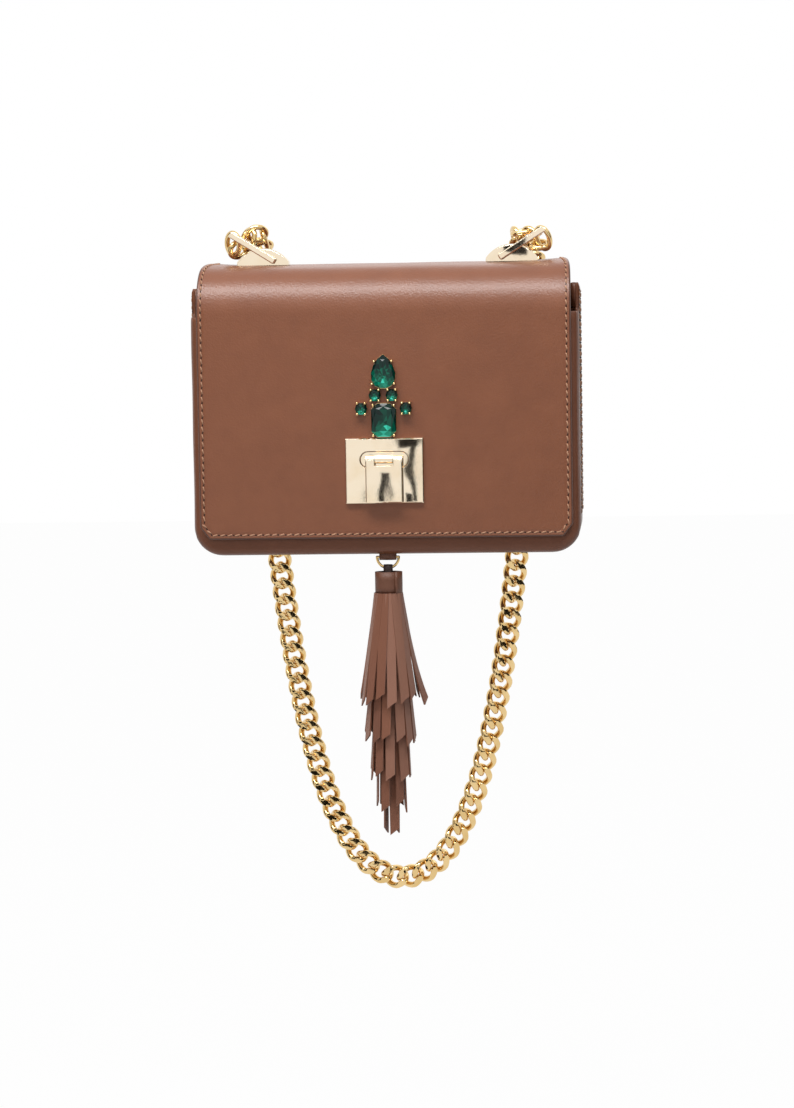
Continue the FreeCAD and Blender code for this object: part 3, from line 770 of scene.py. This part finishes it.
def stitch_path():
    """Points (x, s) along the left edge, the cut corners and the lower edge to the right edge."""
    top = skin_length - stitch_inset
    slope = math.hypot(flap_corner_x, flap_corner_z)
    inset_x = stitch_inset * (slope - flap_corner_x) / flap_corner_z
    inset_z = stitch_inset * (slope - flap_corner_z) / flap_corner_x
    below = steps(top, flap_corner_z + inset_z, stitch_path_step)
    path = [(stitch_inset - skin_half(s), s) for s in [top] + below]
    path += [(flap_corner_x + inset_x - flap_half, stitch_inset)]
    right = [(-x, s) for x, s in reversed(path)]
    return path + right


def walk(path, pitch):
    """Places and directions at equal spacing along a path of points in the plane."""
    places = []
    left = pitch / 2
    for (ax, ay), (bx, by) in zip(path, path[1:]):
        run = math.hypot(bx - ax, by - ay)
        while left < run:
            t = left / run
            places.append(((ax + (bx - ax) * t, ay + (by - ay) * t), ((bx - ax) / run, (by - ay) / run)))
            left += pitch
        left -= run
    return places


def capsule(start, end, normal, radius):
    """A short thread: a spindle from start to end, its middle lifted along normal."""
    along = Vector(end) - Vector(start)
    up = Vector(normal).normalized()
    side = along.cross(up).normalized()
    loops = []
    for t, share, lift in stitch_profile:
        centre = Vector(start) + along * t + up * radius * lift
        loop = []
        for k in range(stitch_sides):
            a = 2 * math.pi * k / stitch_sides
            loop.append(tuple(centre + (side * math.cos(a) + up * math.sin(a)) * radius * share))
        loops.append(loop)
    return loops


def stitch_row(name, places, locate, slant):
    """Threads, and needle holes as dark capsules of painted shade, along places, where locate gives a surface
    point and its outward direction.
    """
    thread_points, thread_faces = [], []
    hole_points, hole_faces = [], []
    for (u, v), (du, dv) in places:
        turn = math.radians(slant)
        eu = du * math.cos(turn) - dv * math.sin(turn)
        ev = du * math.sin(turn) + dv * math.cos(turn)
        half = stitch_length / 2
        start, _ = locate(u - eu * half, v - ev * half)
        end, normal = locate(u + eu * half, v + ev * half)
        points, faces = loft(capsule(start, end, normal, stitch_r), True, len(thread_points))
        thread_points += points
        thread_faces += faces
        # A needle hole between stitches, drawn as a small dark capsule of painted shade.
        half = stitch_pitch / 2
        start, _ = locate(u + du * (half - stitch_hole), v + dv * (half - stitch_hole))
        end, normal = locate(u + du * (half + stitch_hole), v + dv * (half + stitch_hole))
        points, faces = loft(capsule(start, end, normal, stitch_hole / 2), True, len(hole_points))
        hole_points += points
        hole_faces += faces
    threads = new_piece(name, thread_points, thread_faces, [tan_thread])
    holes = new_piece(name + "_holes", hole_points, hole_faces, [needle_hole_shade])
    face_outwards(threads)
    face_outwards(holes)
    return threads, holes


def flap_surface(x, s):
    point = skin_point(x, s, 0)
    ny, nz = skin_place(s)[1]
    return point, (0, -ny, -nz)


def flap_stitches():
    for piece in stitch_row("flap_stitches", walk(stitch_path(), stitch_pitch), flap_surface, stitch_slant):
        fold_blend(piece)


def side_surface(side, y, z):
    return (side * body_half, y, z), (side, 0, 0)


def side_stitches():
    low = corner_radius + side_stitch_rise
    high = side_top - hem_drop
    out = gusset_half - side_stitch_inset
    rows = (("front", [(-out, low), (-out, high)]), ("back", [(out, low), (out, high)]),
            ("hem", [(-out, high), (out, high)]))
    for side, word in ((-1, "left"), (1, "right")):
        for row, path in rows:
            name = "gusset_stitches_" + word + "_" + row
            for piece in stitch_row(name, walk(path, stitch_pitch), partial(side_surface, side), 0):
                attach(piece, "bag_body")


# Body: the panels and gusset as one soft shell with sunk seams

def body_shell():
    nodes = ("front_panel", "back_panel", "gusset")
    work = bmesh.new()
    for node in nodes:
        work.from_mesh(frame["nodes"][node].data)
    mesh = bpy.data.meshes.new("body_leather_painted_shade")
    work.to_mesh(mesh)
    work.free()
    raw = bpy.data.objects.new("body_raw", mesh)
    bpy.context.scene.collection.objects.link(raw)
    remesh = raw.modifiers.new("remesh", "REMESH")
    remesh.mode = "VOXEL"
    remesh.voxel_size = body_voxel * MM
    smooth = raw.modifiers.new("smooth", "SMOOTH")
    smooth.iterations = body_smoothing
    shaped = bpy.data.meshes.new_from_object(raw.evaluated_get(bpy.context.evaluated_depsgraph_get()))
    bpy.data.objects.remove(raw)
    shaped.name = "body_leather_painted_shade"
    shaped.materials.clear()
    # The shell takes the darker leather, with its painted shade.
    shaped.materials.append(body_leather_painted_shade)
    for vertex in shaped.vertices:
        soften(vertex)
    shaped.polygons.foreach_set("use_smooth", [True] * len(shaped.polygons))
    shaped.update()
    shell = bpy.data.objects.new("body_leather_painted_shade", shaped)
    bpy.context.scene.collection.objects.link(shell)
    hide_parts(*nodes)
    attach(shell, "bag_body")


def soften(vertex):
    """Sinks the seams between panels and gusset and adds the slight waves of sewn leather."""
    x, y, z = vertex.co / MM
    inwards = Vector((0, 0, 0))
    sunk = hill(abs(y) - gusset_half, seam_width) * seam_groove
    if abs(y) < gusset_half:
        sunk += hill(z - side_top + hem_drop, seam_width) * seam_groove
    if abs(x) > body_half - body_band:
        inwards = Vector((-math.copysign(1, x), 0, 0))
        sunk += body_wave + soft_noise((x, y, z), body_wave_size, body_wave)
    if z < body_band:
        inwards = Vector((0, 0, 1))
    vertex.co += inwards * sunk * MM


def gusset_hem(side, word):
    """The gusset's top, folded inwards and down: a rounded edge swept from front to back."""
    bend = [(hem_bend * (1 - math.cos(a)), side_top - hem_bend * (1 - math.sin(a)))
            for a in np.linspace(0, math.pi / 2, hem_bend_points)]
    path = [(body_half, side_top - hem_length)]
    path += [(body_half - x, z) for x, z in bend]
    path += [(hem_inside + x, z) for x, z in reversed(bend)]
    path += [(hem_inside, side_top - hem_length)]
    middle = (body_half + hem_inside) / 2
    loops = []
    for y in np.linspace(-hem_half, hem_half, hem_rows):
        bow = soft_noise((side * hem_wave_place, y, 0), hem_wave_size, hem_wave)
        loops.append([(side * (x + bow * (x < middle)), y, z + hem_wave_rise * bow) for x, z in path])
    points, faces = loft(loops)
    # The hem takes the same darker leather, with painted shade.
    hem = new_piece("gusset_hem_" + word, points, faces, [body_leather_painted_shade])
    face_outwards(hem)
    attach(hem, "bag_body")


def lining_loop(z, inset):
    low = lining_floor + inset
    half = lining_half - inset
    depth = lining_half_depth - inset
    rise = min(z - low, lining_radius)
    half -= lining_radius - math.sqrt(max(0, lining_radius ** 2 - (lining_radius - rise) ** 2))
    across = half - lining_corner
    along = depth - lining_corner
    loop = []
    for cx, cy, start in ((1, 1, 0), (-1, 1, 90), (-1, -1, 180), (1, -1, 270)):
        for a in lining_corner_angles:
            turn = math.radians(start + a)
            loop.append((cx * across + lining_corner * math.cos(turn),
                         cy * along + lining_corner * math.sin(turn)))
        if cy * cx > 0:
            loop += [(t * cx * across, cy * depth) for t in lining_side_shares]
    made = []
    for x, y in loop:
        wave = soft_noise((x, y, z), lining_wave_size, lining_wave)
        made.append((x, y + wave - math.copysign(lining_draw_in, y), z))
    return made


def lining_shell():
    heights = [lining_floor + h for h in (*lining_foot, lining_radius)]
    heights += steps(heights[-1], lining_top, lining_step)
    outer = [lining_loop(z, 0) for z in heights]
    lowest = lining_floor + lining_thick + lining_seat
    inner = [lining_loop(max(z, lowest), lining_thick) for z in reversed(heights)]
    points, faces = loft(outer + inner)
    cloth = new_piece("lining_cloth", points, faces, [lining_cloth])
    face_outwards(cloth)
    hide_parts("lining")
    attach(cloth, "bag_body")


# Chain: twisted links filed flat on both faces, and the slack end links heaped behind each ring

def link_points(half_length, half_width, radius, twist, file_at, square=1):
    """A tube round a twisted oval, filed flat, as loops of points. A square below 1 squares its ends."""
    twist = math.radians(twist)
    path = []
    for k in range(link_segments):
        phi = 2 * math.pi * k / link_segments
        along = math.copysign(abs(math.cos(phi)) ** square, math.cos(phi))
        across = half_width * math.copysign(abs(math.sin(phi)) ** square, math.sin(phi))
        turn = twist * along
        path.append(Vector((half_length * along, across * math.cos(turn), across * math.sin(turn))))
    loops = []
    for k, centre in enumerate(path):
        along = (path[(k + 1) % link_segments] - path[k - 1]).normalized()
        out = (centre - along * centre.dot(along)).normalized()
        side = along.cross(out)
        loop = []
        for j in range(wire_sides):
            a = 2 * math.pi * j / wire_sides
            point = centre + (out * math.cos(a) + side * math.sin(a)) * radius
            limit = file_at - link_file_slope * abs(point.y)
            point.z = max(-limit, min(limit, point.z))
            loop.append(point)
        loops.append(loop)
    return loops


def place_link(loops, start, end, across, points, faces):
    """Adds a copy of a link, its middle between start and end and its width along across."""
    along = (end - start).normalized()
    side = (across - along * across.dot(along)).normalized()
    turn = Matrix((along, side, along.cross(side))).transposed()
    middle = (start + end) / 2
    first = len(points)
    count = len(loops[0])
    points.extend(tuple(middle + turn @ p) for loop in loops for p in loop)
    for i in range(len(loops)):
        a = first + i * count
        b = first + (i + 1) % len(loops) * count
        for j in range(count):
            k = (j + 1) % count
            faces.append((a + j, a + k, b + k, b + j))


def chain_piece(name, points, faces, body, node):
    chain = new_piece(name, points, faces, [chain_gold])
    face_outwards(chain)
    chain.data.set_sharp_from_angle(angle=math.radians(chain_sharp))
    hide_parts(node)
    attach(chain, body)


def strap_joint(i):
    half = strap_count * link_pitch / 2
    s = i * link_pitch - half
    drop = math.hypot(catenary, half) - math.hypot(catenary, s)
    return Vector((catenary * math.asinh(s / catenary), chain_y, strap_top - drop))


def strap_link_turn(i):
    """The chain turns about its own length and back again on the right, below the bag."""
    share = (i - strap_turn_from) / (strap_turn_to - strap_turn_from)
    return math.radians(strap_turn) * math.sin(math.pi * max(0, min(1, share)))


def strap_chain():
    loops = link_points(link_half_length, link_half_width, wire_r, link_twist, link_file, link_square)
    points, faces = [], []
    for i in range(1, strap_count - 1):
        start, end = strap_joint(i), strap_joint(i + 1)
        along = end - start
        across = Vector((-along.z, 0, along.x))
        across.rotate(Quaternion(along.normalized(), strap_link_turn(i)))
        place_link(loops, start, end, across, points, faces)
    chain_piece("strap_chain", points, faces, "chain_strap", "strap_links")


def end_link_heap(word, route, link_turn):
    """Links along a route, each turned from the one before, so that the last lies across the strap's axis."""
    points, faces = [], []
    stops = [Vector(p) for p in route]
    across = Vector(first_link_across)
    before = stops[1] - stops[0]
    for start, end in zip(stops, stops[1:]):
        along = end - start
        across = before.rotation_difference(along) @ across
        reach = along.normalized() * end_link_lap
        half = along.length / 2 + end_link_lap
        loops = link_points(half, end_half_width, end_wire_r, 0, link_file)
        place_link(loops, start - reach, end + reach, across, points, faces)
        across.rotate(Quaternion(along.normalized(), math.radians(link_turn)))
        before = along
    chain_piece("end_link_heap_" + word, points, faces, "bag_body", "end_links_" + word)


# Gems: facets are separate islands, so each takes its own painted light and shade

def gem_ring(outline, middle, share, y, between=0):
    """The outline drawn in towards its middle by share, its corners moved along its sides by between."""
    made = []
    for k, corner in enumerate(outline):
        after = outline[(k + 1) % len(outline)]
        x, z = (a + (b - a) * between for a, b in zip(corner, after))
        made.append((middle[0] + (x - middle[0]) * share, y, middle[1] + (z - middle[1]) * share))
    return made


def gem_facets(outline):
    """Facets of a gem, from its base over girdle and crown to the star under its table."""
    count = len(outline)
    middle = [sum(c) / count for c in zip(*outline)]
    reach = max(z for x, z in outline) - middle[1]
    crown_y = gem_girdle_y + (gem_table_y - gem_girdle_y) * gem_crown_rise_share
    base = gem_ring(outline, middle, gem_base_share, gem_base_y)
    girdle = gem_ring(outline, middle, 1, gem_girdle_y)
    crown = gem_ring(outline, middle, gem_crown_share, crown_y, 0.5)
    table = gem_ring(outline, middle, gem_table_share, gem_table_y)
    star = gem_ring(outline, middle, gem_star_share, gem_table_y, 0.5)
    heart = (middle[0], gem_table_y, middle[1] + gem_heart_share * reach)
    facets = [tuple(base)]
    for k in range(count):
        n = (k + 1) % count
        facets += [
            (base[k], base[n], girdle[n], girdle[k]), (girdle[k], girdle[n], crown[k]),
            (crown[k - 1], girdle[k], crown[k], table[k]), (crown[k], table[n], table[k]),
            (table[k], table[n], star[k]), (star[k - 1], table[k], star[k]), (star[k - 1], star[k], heart),
        ]
    return facets, middle, reach


def facet_painted_light(facet, middle, reach):
    """Painted light: facets in a gem's lower half are painted brighter, where light from above would gather,
    side facets darker, right ones a little brighter, each with a random painted glint.
    """
    x = sum(p[0] for p in facet) / len(facet) - middle[0]
    z = sum(p[2] for p in facet) / len(facet) - middle[1]
    lit = gem_middle_painted_light - gem_low_painted_light * z / reach
    lit += (gem_right_painted_light * x - gem_side_painted_shade * abs(x)) / reach
    return lit + random.uniform(-gem_glint_spread, gem_glint_spread)


def gem_piece(name, outlines):
    points, faces, facet_painted_lights = [], [], []
    for outline in outlines:
        facets, middle, reach = gem_facets(outline)
        for facet in facets:
            faces.append(tuple(range(len(points), len(points) + len(facet))))
            points.extend(facet)
            facet_painted_lights.append(max(0, min(1, facet_painted_light(facet, middle, reach))))
    gems = new_piece(name + "_cut", points, faces, [green_gem], smooth=False)
    # Each facet's painted light is stored as the face attribute 'shade'.
    gems.data.attributes.new("shade", "FLOAT", "FACE").data.foreach_set("value", facet_painted_lights)
    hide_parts(name)
    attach(gems, "flap")


def outline_points(shares, size, bottom):
    return [(a * size[0], bottom + b * size[1]) for a, b in shares]


def round_outline(x, z):
    turns = [2 * math.pi * k / round_sides for k in range(round_sides)]
    return [(x + round_d / 2 * math.cos(a), z + round_d / 2 * math.sin(a)) for a in turns]


def all_gems():
    gem_piece("pear_gem", [outline_points(pear_shares, pear_size, pear_bottom)])
    gem_piece("octagon_gem", [outline_points(octagon_shares, octagon_size, octagon_bottom)])
    gem_piece("round_gems", [round_outline(x, z) for x, z in round_places])


# Tassel

def looped_strap(name, width, thick, centre_z, bend, end_z, body, node, leather_finish):
    """A strap that rises from end_z, goes round a bar along X at centre_z and returns beside itself."""
    way = math.copysign(1, centre_z - end_z)
    path = [(bend, end_z), (bend, (end_z + centre_z) / 2)]
    path += [(bend * math.cos(a), centre_z + way * bend * math.sin(a))
             for a in np.linspace(0, math.pi, strap_bend_points)]
    path += [(-bend, (end_z + centre_z) / 2), (-bend, end_z)]
    loops = []
    for i, (y, z) in enumerate(path):
        before = path[max(i - 1, 0)]
        after = path[min(i + 1, len(path) - 1)]
        run = Vector((after[0] - before[0], after[1] - before[1])).normalized()
        out = Vector((run.y, -run.x)) * thick / 2 * way
        half = width / 2
        corners = ((-half, 1), (0, strap_crown), (half, 1), (half, -1), (0, -1), (-half, -1))
        loops.append([(x, tassel_y + y + out.x * share, z + out.y * share) for x, share in corners])
    points, faces = loft(loops)
    strap = new_piece(name, points, faces, [leather_finish])
    face_outwards(strap)
    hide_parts(node)
    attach(strap, body)


def tassel_cap():
    loops = []
    count = round(cap_turns * cap_turn_steps)
    for i in range(count + 1):
        a = 2 * math.pi * cap_turns * i / count + math.radians(cap_start)
        outer = cap_r - cap_pitch_share * cap_sheet * cap_turns * i / count
        place = (math.cos(a) * cap_ripple_reach, math.sin(a) * cap_ripple_reach, 0)
        waved = outer + soft_noise(place, cap_ripple_size, cap_ripple)
        rows = ((outer, cap_bottom), (waved, cap_bottom + cap_ripple_margin),
                (waved, cap_top - cap_ripple_margin), (outer, cap_top),
                (outer - cap_sheet, cap_top), (outer - cap_sheet, cap_bottom))
        loops.append([(r * math.sin(a), tassel_y - r * math.cos(a), z) for r, z in rows])
    points, faces = loft(loops)
    cap = new_piece("tassel_cap_roll", points, faces, [cap_leather])
    face_outwards(cap)
    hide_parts("tassel_cap", "tassel_core")
    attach(cap, "tassel")


def fringe_strip(tier, k, first):
    """One curved strip with a slanted tip, hung at its place round the cap and flaring outwards."""
    top = cap_bottom + strip_tuck
    length = top + tier_drops[tier] - strip_uneven * random.random()
    spin = math.radians(360 * k / tier_counts[tier] + tier_turns[tier])
    bow = strip_bow * random.uniform(-0.5, 1)
    sway = strip_sway * random.uniform(-1, 1)
    twist = math.radians(strip_twist * random.uniform(-1, 1))
    stray = stray_strips.get(k, 0) if tier == 0 else 0
    flare = tier_tip_radii[tier] - tier_radii[tier]
    loops = []
    for i in range(strip_rows + 1):
        t = i / strip_rows
        radius = tier_radii[tier] + flare * t ** strip_flare_power
        radius += bow * math.sin(math.pi * t) + stray * t ** stray_power
        turn = twist * t
        loop = []
        for w, d in strip_section:
            across = w * strip_width
            deep = d * strip_thick + abs(w) * strip_curl * (1 - t)
            z = top - (length - strip_slant * (w + 0.5) * t) * t
            x = sway * t * t + across * math.cos(turn) - deep * math.sin(turn)
            y = across * math.sin(turn) + deep * math.cos(turn) - radius
            loop.append((x * math.cos(spin) - y * math.sin(spin),
                         tassel_y + x * math.sin(spin) + y * math.cos(spin), z))
        loops.append(loop)
    return loft(loops, True, first)


def fringe():
    for tier, count in enumerate(tier_counts):
        points, faces = [], []
        for k in range(count):
            more, more_faces = fringe_strip(tier, k, len(points))
            points += more
            faces += more_faces
        node = "fringe_tier_%d" % (tier + 1)
        strips = new_piece(node + "_strips", points, faces, [tassel_leather])
        face_outwards(strips)
        strips.data.set_sharp_from_angle(angle=math.radians(strip_sharp))
        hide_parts(node)
        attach(strips, "tassel")


# Stage, light and camera

def white_for_eyes(tree, plain, bright):
    """Shows bright to camera, glossy and transmission rays, and plain to all others."""
    path = tree.nodes.new("ShaderNodeLightPath")
    seen = path.outputs["Is Camera Ray"]
    for word in ("Is Glossy Ray", "Is Transmission Ray"):
        add = tree.nodes.new("ShaderNodeMath")
        add.operation = "MAXIMUM"
        tree.links.new(seen, add.inputs[0])
        tree.links.new(path.outputs[word], add.inputs[1])
        seen = add.outputs[0]
    mix = tree.nodes.new("ShaderNodeMixShader")
    tree.links.new(seen, mix.inputs["Fac"])
    tree.links.new(plain, mix.inputs[1])
    tree.links.new(bright, mix.inputs[2])
    return mix.outputs[0]


def world():
    made = bpy.data.worlds.new("studio")
    bpy.context.scene.world = made
    made.use_nodes = True
    tree = made.node_tree
    plain = tree.nodes["Background"]
    plain.inputs["Color"].default_value = world_color
    plain.inputs["Strength"].default_value = world_strength
    bright = tree.nodes.new("ShaderNodeBackground")
    bright.inputs["Color"].default_value = (1, 1, 1, 1)
    bright.inputs["Strength"].default_value = 1.0
    output = white_for_eyes(tree, plain.outputs[0], bright.outputs[0])
    tree.links.new(output, tree.nodes["World Output"].inputs["Surface"])


def stage_card(name, corners, material):
    mesh = bpy.data.meshes.new(name)
    mesh.from_pydata([tuple(c * MM for c in p) for p in corners], [], [(0, 1, 2, 3)])
    mesh.materials.append(material)
    card = bpy.data.objects.new(name, mesh)
    bpy.context.scene.collection.objects.link(card)
    return card


def floor():
    material, shader = new_material("floor", floor_color, 0, floor_rough)
    tree = material.node_tree
    glow = tree.nodes.new("ShaderNodeEmission")
    mix = tree.nodes.new("ShaderNodeMixShader")
    mix.inputs["Fac"].default_value = floor_white
    tree.links.new(shader.outputs[0], mix.inputs[1])
    tree.links.new(glow.outputs[0], mix.inputs[2])
    output = white_for_eyes(tree, shader.outputs[0], mix.outputs[0])
    tree.links.new(output, tree.nodes["Material Output"].inputs["Surface"])
    corners = [(x * floor_reach, y * floor_reach, floor_z) for x, y in ((-1, -1), (1, -1), (1, 1), (-1, 1))]
    stage_card("floor", corners, material)


def softbox(name, place, aim, size, power, mirrored):
    lamp = bpy.data.lights.new(name, "AREA")
    lamp.shape = "RECTANGLE"
    lamp.size = size[0] * MM
    lamp.size_y = size[1] * MM
    lamp.energy = power
    made = bpy.data.objects.new(name, lamp)
    made.visible_glossy = mirrored
    made.location = Vector(place) * MM
    made.rotation_euler = (Vector(aim) - Vector(place)).to_track_quat("-Z", "Y").to_euler()
    bpy.context.scene.collection.objects.link(made)


def flag(name, place, size):
    """A dark card, upright and facing the object, that only reflections see."""
    middle = Vector(place)
    back = (middle - Vector((0, 0, middle.z))).normalized()
    side = Vector((-back.y, back.x, 0))
    out = side * (size[0] / 2)
    rise = Vector((0, 0, size[1] / 2))
    corners = [middle - out - rise, middle + out - rise, middle + out + rise, middle - out + rise]
    card = stage_card(name, corners, new_material(name, flag_color, 0, 1)[0])
    card.visible_camera = False
    card.visible_diffuse = False
    card.visible_shadow = False


def camera():
    data = bpy.data.cameras.new("camera")
    data.sensor_width = sensor
    data.lens = sensor * view_distance / view_height
    made = bpy.data.objects.new("camera", data)
    azimuth = math.radians(view_azimuth)
    elevation = math.radians(view_elevation)
    back = Vector((math.sin(azimuth) * math.cos(elevation), -math.cos(azimuth) * math.cos(elevation),
                   math.sin(elevation)))
    made.location = (Vector(view_target) + back * view_distance) * MM
    turn = (-back).to_track_quat("-Z", "Y").to_matrix() @ Matrix.Rotation(math.radians(-view_roll), 3, "Z")
    made.rotation_euler = turn.to_euler()
    bpy.context.scene.collection.objects.link(made)
    bpy.context.scene.camera = made


bpy.context.scene.view_settings.view_transform = "Standard"
paint_frame()
flap_skin()
flap_stitches()
body_shell()
gusset_hem(-1, "left")
gusset_hem(1, "right")
lining_shell()
side_stitches()
strap_chain()
end_link_heap("right", heap_right, heap_right_turn)
end_link_heap("left", heap_left, heap_left_turn)
all_gems()
looped_strap("tassel_tab_leather", tab_width, tab_thick, d_ring_z,
             d_ring_wire / 2 + tab_thick / 2 + tab_play, tab_end, "bag_body", "tassel_tab", cap_leather)
looped_strap("tassel_loop_leather", loop_width, loop_thick, d_ring_z - d_ring_r,
             d_ring_wire / 2 + loop_thick / 2 + loop_play, cap_top - loop_tuck,
             "tassel", "tassel_loop", dark_leather)
tassel_cap()
fringe()
world()
floor()
for lamp_row in lamps:
    softbox(*lamp_row)
for flag_row in flags:
    flag(*flag_row)
camera()
